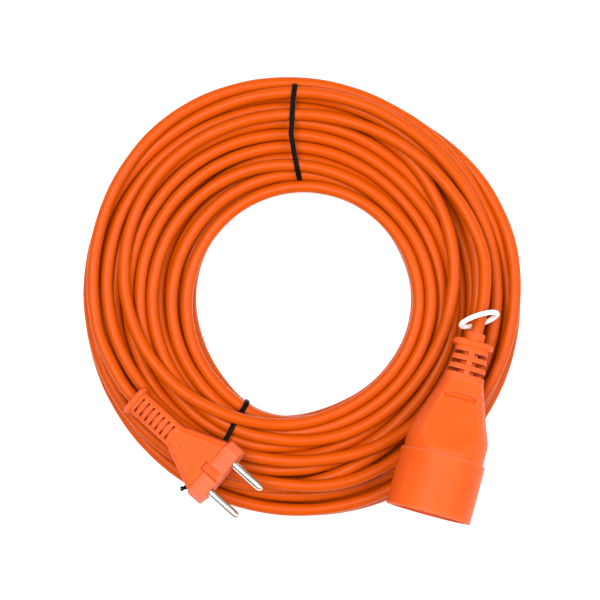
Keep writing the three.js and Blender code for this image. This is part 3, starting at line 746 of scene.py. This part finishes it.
def metal(name, color, roughness):
    """Plated or bare metal with fine drawing lines and soft smears."""
    made, tree, shader = new_material(name, color, roughness, 1.0)
    smear = mapped(tree, noise(tree, 120, 2.0), 0, 1)
    tree.links.new(mixed(tree, smear, shade(color, 0.96), shade(color, 1.02)), shader.inputs["Base Color"])
    tree.links.new(
        mapped(tree, noise(tree, 160, 2.0), roughness - 0.03, roughness + 0.04), shader.inputs["Roughness"])
    bumped(tree, shader, [(noise(tree, 1500, 3.0, (0.2, 1, 1)), 0.02)], 0.00003)
    return made


SHEATH_COLOR = (0.405, 0.0505, 0.0002)
MOULDED_COLOR = (0.51, 0.062, 0.0045)
DUST_COLOR = (0.44, 0.070, 0.002)

SHEATH = sheath_material()
MOULDED = moulded("moulded_body", MOULDED_COLOR, 0.5)
NICKEL = metal("pin_metal", (0.66, 0.62, 0.55), 0.16)
BRASS = metal("contact_metal", (0.60, 0.42, 0.14), 0.34)
CARRIER = moulded("carrier", (0.68, 0.64, 0.55), 0.5, wear=0)
CORE_BROWN = moulded("core_brown", (0.10, 0.03, 0.01), 0.45, wear=0)
CORE_BLUE = moulded("core_blue", (0.012, 0.07, 0.33), 0.45, wear=0)
TIE_BLACK = moulded("tie_black", (0.0035, 0.003, 0.0025), 0.6, grain=0.2, wear=0, gloss=0.04)
RING_WHITE = moulded("ring_white", (0.86, 0.84, 0.83), 0.34, grain=0.1, wear=0)


# ---- Cord ----

def make_cord():
    plug_tail, coil, socket_tail, stations = cord_line()
    line = join_line(plug_tail, coil, socket_tail)
    points, faces, far = cord_mesh(line, CORD_SIDES)
    cord = make_object("cord", points, faces, SHEATH, smooth_angle=70)
    add_length_map(cord, far, CORD_SIDES)
    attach(cord, "coil")
    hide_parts("cable_coil", "cable_tail_plug", "cable_tail_socket")
    return cord, line, stations


# ---- Plug ----

def grip_section(x):
    """The plug's outline from its sleeve to the face block."""
    flare = max(0.0, x - 31.0)
    width = 6.4 + 0.8 * step_up(x, 28, 33) + flare * 0.395
    height = 5.0 + 0.3 * step_up(x, 28, 33) + max(0.0, x - 31.0) * 0.06
    cut = 2.6 + 0.5 * step_up(x, 28, 34)
    return octagon(width, height, cut, cut * 0.72)


def plug_sleeve_section(x):
    """The collar is a round bar across the cord. Beyond it the sleeve's edges get rounder."""
    bar = PLUG_COLLAR / 2
    swell = math.sqrt(max(0.0, 1 - ((x - bar) / bar) ** 2)) if x < PLUG_COLLAR else 0.0
    taper = 0.25 * step_up(x, 24, 4)
    section = grip_section(x)
    if x >= PLUG_COLLAR:
        return outline([(y, z) for y, z in section], 1.3 - taper)
    width, height = 6.6 + 1.7 * swell, 4.3 + 1.5 * swell
    return outline(octagon(width, height, 2.6, 2.4), 1.6)


def slots_of_plug(x, y):
    """How far inside a slot a point of the sleeve is, from 0 to 1."""
    half_long, half_wide = 4.2, 0.62
    pitch = (PLUG_SLEEVE_END - PLUG_COLLAR) / (PLUG_SLOTS + 0.2)
    deep = np.zeros(len(y))
    for k in range(PLUG_SLOTS):
        middle = PLUG_COLLAR + pitch * (k + 0.6)
        beyond = np.maximum(np.abs(y) - (half_long - half_wide), 0)
        edge = np.hypot(x - middle, beyond) - half_wide
        deep = np.maximum(deep, step_up(edge, 0.10, -0.12))
    return deep


def plug_sleeve_rings():
    rings = []
    for x in np.arange(0.0, PLUG_SLEEVE_END + 0.5, 0.14):
        shape = plug_sleeve_section(x)
        y, z = shape[:, 0], shape[:, 1]
        floor = np.sqrt(np.maximum((CORD_RADIUS + 0.3) ** 2 - y ** 2, 0.8))
        deep = slots_of_plug(x, y) * (np.abs(z) > floor) * (x > PLUG_COLLAR)
        z = z + deep * (np.sign(z) * floor - z)
        rings.append(at_x(x, np.column_stack([y, z])))
    return rings


def cord_hole_rings(like, depth):
    """Rings that turn in from a rear end to the cord's hole. They match another ring's points."""
    angle = np.arctan2(like[:, 2], like[:, 1])
    hole = np.column_stack([np.cos(angle), np.sin(angle)])
    rings = [at_x(depth, hole * 0.4), at_x(depth, hole * CORD_HOLE)]
    rings += [at_x(0.5, hole * CORD_HOLE), at_x(0, hole * (CORD_HOLE + 0.35))]
    return rings


def make_plug_sleeve():
    rings = plug_sleeve_rings()
    points, faces = rings_to_mesh(cord_hole_rings(rings[0], HOLE_DEPTH) + rings)
    sleeve = outward(make_object("plug_sleeve", points, faces, MOULDED, plug_frame, 40))
    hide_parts("plug_strain_relief")
    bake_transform(sleeve)
    return sleeve


def plug_body_rings():
    rings = []
    block_width, block_height = PIN_PITCH / 2 + 8.15, 7.3
    rib_pitch, first_rib, ribs = 1.14, 34.4, 12
    for x in np.arange(PLUG_SLEEVE_END + GAP / 2, PLUG_BLOCK_START - 0.2, 0.16):
        section = grip_section(x)
        shape = outline(section, 0.9)
        y, z = shape[:, 0], shape[:, 1]
        plateau = section[2][0] - 0.6
        on_ribs = step_up(np.abs(y), plateau, plateau - 0.7) * (np.abs(z) > section[2][1] - 0.05)
        phase = (x - first_rib) / rib_pitch
        rib = 0.5 - 0.5 * math.cos(2 * math.pi * phase) if 0 <= phase <= ribs else 0.0
        z = z - np.sign(z) * on_ribs * 0.26 * rib
        rings.append(at_x(x, np.column_stack([y, z])))
    block = octagon(block_width, block_height, 3.3, block_height - 1.9)
    for x, inset in ((PLUG_BLOCK_START - 0.2, 0.9), (PLUG_BLOCK_START + 0.15, 0.25),
                     (PLUG_BLOCK_START + 0.7, 0), (PLUG_FACE - 0.7, 0), (PLUG_FACE - 0.2, 0.2),
                     (PLUG_FACE, 0.65)):
        inner = [(y * (1 - inset / block_width), z * (1 - inset / block_height)) for y, z in block]
        rings.append(at_x(x, outline(inner, 0.55)))
    return rings


def box_points(low, high):
    return [(x, y, z) for x in (low[0], high[0]) for y in (low[1], high[1]) for z in (low[2], high[2])]


BOX_FACES = [(0, 1, 3, 2), (4, 6, 7, 5), (0, 4, 5, 1), (2, 3, 7, 6), (0, 2, 6, 4), (1, 5, 7, 3)]


def carve(made, tools):
    """Cuts tools out of an object and removes them."""
    for tool in tools:
        cut = made.modifiers.new("cut", "BOOLEAN")
        cut.operation = "DIFFERENCE"
        cut.solver = "EXACT"
        cut.object = tool
    bpy.context.view_layer.update()
    cut_mesh = bpy.data.meshes.new_from_object(
        made.evaluated_get(bpy.context.evaluated_depsgraph_get()))
    made.modifiers.clear()
    made.data = cut_mesh
    for tool in tools:
        bpy.data.objects.remove(tool)
    made.data.set_sharp_from_angle(angle=math.radians(38))


def round_tool(place, radius, start, end, y=0.0):
    rings = [at_x(x, round_outline(radius, radius, count=48)) + (0, y, 0) for x in (start, end)]
    points, faces = rings_to_mesh(rings)
    return outward(make_object("tool", points, faces, MOULDED, place))


def make_plug_body():
    points, faces = rings_to_mesh(plug_body_rings())
    body = outward(make_object("plug_moulding", points, faces, MOULDED, plug_frame))
    low = (PLUG_BLOCK_START - 2.2, -NOTCH_WIDTH / 2, NOTCH_FLOOR)
    high = (PLUG_FACE + 2, NOTCH_WIDTH / 2, 9)
    notch = make_object("tool", box_points(low, high), BOX_FACES, MOULDED, plug_frame)
    wells = [round_tool(plug_frame, PIN_RADIUS + WELL_ROOM, PLUG_FACE - WELL_DEPTH, PLUG_FACE + 2,
                        side * PIN_PITCH / 2) for side in (1, -1)]
    carve(body, [outward(notch), *wells])
    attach(body, "plug")
    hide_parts("plug_body")
    return body


def make_pin(name, side):
    """A turned pin with a rounded tip and a fine turned line behind it."""
    tip = PLUG_FACE + PIN_LENGTH
    profile = [(PLUG_FACE - PIN_TAIL, PIN_RADIUS * 0.9), (PLUG_FACE - PIN_TAIL + 0.2, PIN_RADIUS)]
    profile += [(tip - 3.0, PIN_RADIUS), (tip - 2.9, PIN_RADIUS * 0.975)]
    nose = 2.6
    profile += [(tip - nose + nose * math.sin(a), PIN_RADIUS * 0.975 * math.cos(a) ** 0.8)
                for a in np.linspace(0, 0.47 * math.pi, 9)]
    rings = [at_x(x, round_outline(r, r, count=40)) + (0, side * PIN_PITCH / 2, 0) for x, r in profile]
    points, faces = rings_to_mesh(rings)
    pin = outward(make_object(name, points, faces, NICKEL, plug_frame))
    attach(pin, "plug")
    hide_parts("plug_pin_left" if side > 0 else "plug_pin_right")
    return pin


# ---- Socket ----

def socket_sleeve_rings():
    rings = []
    rows, web = 3, 1.5
    pitch = (SOCKET_SLEEVE_END - SOCKET_COLLAR_END) / (rows + 0.6)
    collar_middle = (SOCKET_NECK + SOCKET_COLLAR_END) / 2
    collar_half = (SOCKET_COLLAR_END - SOCKET_NECK) / 2
    for x in np.arange(0.0, SOCKET_SLEEVE_END + 0.5, 0.16):
        if x < SOCKET_NECK:
            round_edge = 0.6 * (1 - math.sqrt(1 - (1 - min(x / 0.6, 1)) ** 2))
            seam = 0.18 * step_up(abs(x - SOCKET_NECK / 2), 0.25, 0.05)
            shape = round_outline(5.1 - round_edge - seam, 5.1 - round_edge - seam)
        elif x < SOCKET_COLLAR_END:
            swell = math.sqrt(max(0.0, 1 - ((x - collar_middle) / collar_half) ** 2)) ** 0.8
            shape = round_outline(8.6 + 2.05 * swell, 5.6 + 1.4 * swell, 3.0)
        else:
            share = (x - SOCKET_COLLAR_END) / (SOCKET_SLEEVE_END - SOCKET_COLLAR_END)
            shape = round_outline(8.5 + 1.9 * share, 6.2 + 1.3 * share, 3.2)
            reach = np.linalg.norm(shape, axis=1)
            core = 4.0
            deep = np.zeros(len(shape))
            for k in range(rows):
                middle = SOCKET_COLLAR_END + pitch * (k + 0.8)
                across = step_up(np.abs(shape[:, 0]), web - 0.15, web + 0.2)
                half = pitch * 0.21
                slot = step_up(abs(x - middle), half + 0.12, half - 0.12)
                deep = np.maximum(deep, slot * across)
            shape = shape * (1 - deep * (1 - np.minimum(core / reach, 1)))[:, None]
        rings.append(at_x(x, shape))
    return rings


def make_socket_sleeve():
    rings = socket_sleeve_rings()
    points, faces = rings_to_mesh(cord_hole_rings(rings[0], HOLE_DEPTH) + rings)
    sleeve = outward(make_object("socket_sleeve", points, faces, MOULDED, socket_frame, 40))
    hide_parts("socket_strain_relief")
    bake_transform(sleeve)


# Along the rear body as a share of its length, its half width and half height as shares of its radius.
SOCKET_FLARE = [(0, 0.506, 0.366), (0.25, 0.665, 0.47), (0.56, 0.877, 0.65), (0.7, 0.983, 0.74),
                (0.78, 1, 0.82), (0.87, 1, 0.92), (0.95, 1, 1), (1, 1, 1)]


EASE = 0.035


def eased(points, at):
    """A value between points, with the corners softened."""
    shares, values = zip(*points)
    nearby = np.clip(at + EASE * np.linspace(-1, 1, 7), 0, 1)
    return float(np.interp(nearby, shares, values).mean())


def rear_body_shape(x, grow=0.0):
    along = (x - SOCKET_BODY_START) / (SOCKET_BODY_END - SOCKET_BODY_START)
    width = SOCKET_BODY_RADIUS * eased([(a, w) for a, w, _ in SOCKET_FLARE], along) + grow
    height = SOCKET_BODY_RADIUS * eased([(a, h) for a, _, h in SOCKET_FLARE], along) + grow
    shape = round_outline(width, width, count=200)
    flat = 12
    z = shape[:, 1]
    z = np.sign(z) * (np.maximum(np.abs(z), 1e-6) ** -flat + height ** -flat) ** (-1 / flat)
    return np.column_stack([shape[:, 0], z])


def thumb_pad(x, y, z):
    """The flat pad let into the top and bottom: a crescent step behind, and a rounded front edge."""
    start, end = 34.6, 61.8
    arc = 1.9 * np.sqrt(np.maximum(1 - (y / 8.4) ** 2, 0))
    behind = step_up(x, start - 0.05 - arc, start + 0.05 - arc) * (np.abs(y) < 8.4)
    half = 7.4 + 6.4 * step_up(x, start - 8, 56)
    corner = 6.5
    beyond_x = np.maximum(x - (end - corner), 0)
    beyond_y = np.maximum(np.abs(y) - (half - corner), 0)
    inside = step_up(np.hypot(beyond_x, beyond_y) - corner, 0.6, -0.6)
    settled = 0.34 * inside * step_up(x, start - 0.5, start + 0.6)
    lip = 1.5 * behind * step_up(x, start + 2.6, start - 0.4)
    lines = sum(0.10 * math.exp(-((x - at) / 0.28) ** 2) for at in (46.6, 55.6))
    across = step_up(np.abs(y), 10.6, 9.8)
    return np.sign(z) * np.maximum(np.maximum(settled, lip) + lines * across, 0) * (np.abs(z) > 6)


def make_socket_body():
    outer, inner = [], []
    for x in np.arange(SOCKET_BODY_START - GAP / 2, SOCKET_BODY_END + 0.01, 0.2):
        shape = rear_body_shape(x)
        z = shape[:, 1] - thumb_pad(x, shape[:, 0], shape[:, 1])
        outer.append(at_x(x, np.column_stack([shape[:, 0], z])))
    for x in (SOCKET_BODY_END, SOCKET_BODY_END - 12, SOCKET_BODY_START + 12, SOCKET_BODY_START + 5):
        inner.append(at_x(x, rear_body_shape(x, -3)))
    angle = 2 * math.pi * (np.arange(200) + 0.5) / 200
    hole = np.column_stack([np.cos(angle), np.sin(angle)]) * CORD_HOLE
    inner += [at_x(SOCKET_BODY_START + 3, hole), at_x(SOCKET_BODY_START - GAP / 2, hole)]
    points, faces = rings_to_mesh(outer + inner, closed=True)
    body = outward(make_object("socket_grip", points, faces, MOULDED, socket_frame))
    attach(body, "socket")
    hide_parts("socket_rear_body")
    return body


def lathe(profile, count):
    rings = [at_x(x, round_outline(r, r, count=count)) for x, r in profile]
    return rings_to_mesh(rings, closed=True)


def rounded_edge(x, r, radius, start, end):
    """Profile points round an edge. Start and end are bearings in degrees, 0 along +X."""
    bearings = np.radians(np.linspace(start, end, 5))
    return [(x + radius * math.cos(b), r + radius * math.sin(b)) for b in bearings]


def make_socket_shell():
    """The round front with its rolled mouth. Its outside is very slightly uneven."""
    edge, lip = 0.55, 0.45
    outside, inside = SOCKET_RADIUS, SOCKET_RADIUS - SOCKET_WALL
    profile = [(SOCKET_SHELL_START - GAP, inside), (SOCKET_SHELL_START - GAP, SOCKET_BODY_RADIUS - 1)]
    profile += rounded_edge(SOCKET_SHELL_START - GAP + edge, outside - edge, edge, 180, 90)
    profile += [(x, outside + 0.02 * math.sin(x))
                for x in np.arange(SOCKET_SHELL_START + 1, SOCKET_MOUTH - 1, 1)]
    profile += rounded_edge(SOCKET_MOUTH - edge, outside - edge, edge, 90, 0)
    profile += rounded_edge(SOCKET_MOUTH - lip, inside + lip, lip, 0, -90)
    profile += [(SOCKET_MOUTH - 3, inside), (SOCKET_MOUTH - 17, inside)]
    points, faces = lathe(profile, 160)
    shell = outward(make_object("socket_shell", points, faces, MOULDED, socket_frame))
    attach(shell, "socket")
    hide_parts("socket_front_shell")
    return shell


# ---- Ring and ties ----

def make_ring():
    """A moulded ring with a flattened round band and a faint parting line."""
    low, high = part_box("hang_ring")
    slide = Vector(joint_named("ring_slide")["axis"])
    points = np.array([v.co for v in frame["nodes"]["hang_ring"].data.vertices])
    normal = Vector(np.linalg.svd(points - points.mean(0), full_matrices=False)[2][2])
    normal = normal if normal.dot(slide) < 0 else -normal
    place = Matrix.Translation((low + high) / 2) @ normal.to_track_quat("X", "Z").to_matrix().to_4x4()
    middle, half_band, half = RING_OUTER - RING_BAND / 2, RING_BAND / 2, RING_THICKNESS / 2
    profile = []
    for angle in np.radians(np.arange(0, 360, 15)):
        c, s = math.cos(angle), math.sin(angle)
        across = half * abs(c) ** 0.75 * (1 if c > 0 else -1)
        outward_by = half_band * abs(s) ** 0.75 * (1 if s > 0 else -1)
        parting = 0.06 if abs(c) < 0.1 else 0.0
        profile.append((across, middle + outward_by + parting * (1 if s > 0 else -1)))
    points, faces = lathe(profile, 120)
    ring = outward(make_object("ring", points, faces, RING_WHITE, place @ Matrix.Scale(MM, 4), 50))
    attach(ring, "ring")
    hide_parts("hang_ring")
    return ring


def hull(points):
    """The convex hull of flat points, counter-clockwise."""
    points = sorted(map(tuple, points))

    def half(order):
        chain = []
        for p in order:
            while len(chain) > 1 and (
                    (chain[-1][0] - chain[-2][0]) * (p[1] - chain[-2][1])
                    - (chain[-1][1] - chain[-2][1]) * (p[0] - chain[-2][0])) <= 0:
                chain.pop()
            chain.append(p)
        return chain[:-1]

    return np.array(half(points) + half(points[::-1]))


def band_path(stations, clock_at, inner, outer, under_last):
    """A closed path round the turns that a tie holds, as (radius, height) points."""
    clock, r, z = stations
    near = np.abs((clock - clock_at + 180) % 360 - 180) < STEP
    held = near & (r > inner + 1.5) & (r < outer - 1.5)
    if under_last:
        held &= clock < clock[-1] - LAST_TURN_REACH
    angle = np.radians(np.arange(0, 360, 15))
    clear = CORD_RADIUS + 0.12 + TIE_THICKNESS / 2
    spots = [(a + clear * math.cos(t), max(b + clear * math.sin(t), TIE_THICKNESS / 2 + 0.05))
             for a, b in zip(r[held], z[held]) for t in angle]
    path = hull(spots)
    path = np.vstack([path, path[:1]])
    far = distance_along(path)
    at = np.linspace(0, far[-1], 161)[:-1]
    path = np.column_stack([np.interp(at, far, path[:, 0]), np.interp(at, far, path[:, 1])])
    for _ in range(3):
        path += 0.25 * (np.roll(path, 1, 0) + np.roll(path, -1, 0) - 2 * path)
    return path


def strap_rings(path, rng, bow):
    """Rings of a flat strip that follows a closed path. It rolls a little as a twist tie does."""
    ahead = np.roll(path, -1, 0) - np.roll(path, 1, 0)
    ahead /= np.linalg.norm(ahead, axis=1)[:, None]
    out = np.column_stack([ahead[:, 1], -ahead[:, 0]])
    count = len(path)
    turn = 2 * math.pi * np.arange(count) / count
    roll = 0.16 * np.sin(7 * turn + rng.uniform(0, 6)) + 0.10 * np.sin(15 * turn + rng.uniform(0, 6))
    sway = 0.35 * np.sin(3 * turn + rng.uniform(0, 6)) + 0.2 * np.sin(8 * turn + rng.uniform(0, 6))
    if bow:
        sway += np.interp(path[:, 0], *zip(*bow))
    section = outline_of_strip()
    rings = []
    for (r, z), (nr, nz), a, s in zip(path, out, roll, sway):
        u = section[:, 0] * math.cos(a) - section[:, 1] * math.sin(a)
        v = section[:, 0] * math.sin(a) + section[:, 1] * math.cos(a)
        rings.append(np.column_stack([r + nr * v, u + s, z + nz * v]))
    return rings


def outline_of_strip():
    """A flat strip that is thicker along its middle, where the wire runs."""
    half, thick = TIE_WIDTH / 2, TIE_THICKNESS / 2
    top = [(half, 0.18), (half * 0.85, 0.3), (half * 0.45, 0.32), (half * 0.2, thick), (-half * 0.2, thick),
           (-half * 0.45, 0.32), (-half * 0.85, 0.3), (-half, 0.18)]
    return np.array(top + [(-u, -v) for u, v in top])


def twisted_ends(points):
    """The tie's two ends, twisted round each other along a short path."""
    line = evenly(curve_through(points, 10), 0.25)
    side, up = frames_along(line)
    far = np.linspace(0, 1, len(line))
    strands = []
    for phase in (0, math.pi):
        spin = phase + 2 * math.pi * 2.2 * far
        wide = 0.62 + 0.25 * step_up(far, 0.8, 1.0)
        centre = line + wide[:, None] * (np.cos(spin)[:, None] * side + np.sin(spin)[:, None] * up)
        strand_side, strand_up = frames_along(centre)
        angle = 2 * math.pi * np.arange(10) / 10
        radius = 0.58
        strands.append([c + radius * (np.outer(np.cos(angle), s) + np.outer(np.sin(angle), u))
                        for c, s, u in zip(centre, strand_side, strand_up)])
    return strands


def make_tie(name, node, stations, clock, inner, outer, end_points, seed, bow=(), under_last=False):
    rng = np.random.default_rng(seed)
    path = band_path(stations, clock, inner, outer, under_last)
    points, faces = rings_to_mesh(strap_rings(path, rng, bow), closed=True)
    for strand in twisted_ends(end_points):
        more, more_faces = rings_to_mesh(strand)
        faces += [tuple(i + len(points) for i in face) for face in more_faces]
        points = list(points) + list(more)
    bearing = math.radians(90 - clock)
    place = Matrix.Rotation(bearing, 4, "Z") @ Matrix.Scale(MM, 4)
    tie = outward(make_object(name, points, faces, TIE_BLACK, place, 50))
    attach(tie, "coil")
    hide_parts(node)
    return tie


# ---- Studio ----

def make_floor():
    size = 3.0
    floor = make_object("floor", [(-1, -1, 0), (1, -1, 0), (1, 1, 0), (-1, 1, 0)], [(0, 1, 2, 3)],
                        FLOOR, Matrix.Scale(size, 4))
    floor.location.z = cad_low.z - 0.0002


def area_light(name, place, size, power):
    data = bpy.data.lights.new(name, "AREA")
    data.size = size
    data.energy = power
    lamp = bpy.data.objects.new(name, data)
    lamp.location = place
    lamp.rotation_euler = (-Vector(place)).to_track_quat("-Z", "Y").to_euler()
    bpy.context.scene.collection.objects.link(lamp)


HORIZON = 0.16              # the studio's brightness low down and overhead
ZENITH = 1.05


def light_studio():
    world = bpy.data.worlds.new("studio")
    world.use_nodes = True
    tree = world.node_tree
    backdrop = tree.nodes["Background"]
    backdrop.inputs["Color"].default_value = (1, 1, 1, 1)
    coordinates = tree.nodes.new("ShaderNodeTexCoord")
    split = tree.nodes.new("ShaderNodeSeparateXYZ")
    tree.links.new(coordinates.outputs["Generated"], split.inputs["Vector"])
    tree.links.new(
        mapped(tree, split.outputs["Z"], HORIZON, ZENITH, 0.25, 0.95), backdrop.inputs["Strength"])
    bpy.context.scene.world = world
    area_light("key", (-0.35, 0.15, 1.45), 0.8, 30)
    area_light("side", (0.9, -0.1, 1.2), 1.0, 20)


FLOOR, _, _ = new_material("floor", (0.96, 0.96, 0.96), 0.9)

# ---- The whole scene ----

bpy.context.scene.view_settings.view_transform = "Standard"
make_camera()
cord, cord_path, stations = make_cord()
plug_sleeve = make_plug_sleeve()
plug_body = make_plug_body()
pins = [make_pin("plug_pin_a", 1), make_pin("plug_pin_b", -1)]
make_socket_sleeve()
make_socket_body()
make_socket_shell()
ring = make_ring()
make_tie("tie_a", "tie_top", stations, UPPER_TIE_CLOCK, 59.5, 109.5,
         [(108.1, 0, 5.5), (109.6, 2.5, 3.4), (110.2, 7.5, 2.4)], 3, bow=UPPER_TIE_BOW)
make_tie("tie_b", "tie_lower", stations, LOWER_TIE_CLOCK, 61, 112.4,
         [(111.6, -3, 12), (115, -6, 13.5), (117.5, -8.5, 15)], 5, under_last=True)

for node, material in {
    "plug_pin_bridge": CARRIER,
    "socket_insert": MOULDED,
    "socket_contact_left": BRASS,
    "socket_contact_right": BRASS,
    "plug_core_brown": CORE_BROWN,
    "plug_core_blue": CORE_BLUE,
    "socket_core_brown": CORE_BROWN,
    "socket_core_blue": CORE_BLUE,
}.items():
    frame["nodes"][node].data.materials.clear()
    frame["nodes"][node].data.materials.append(material)

make_floor()
light_studio()
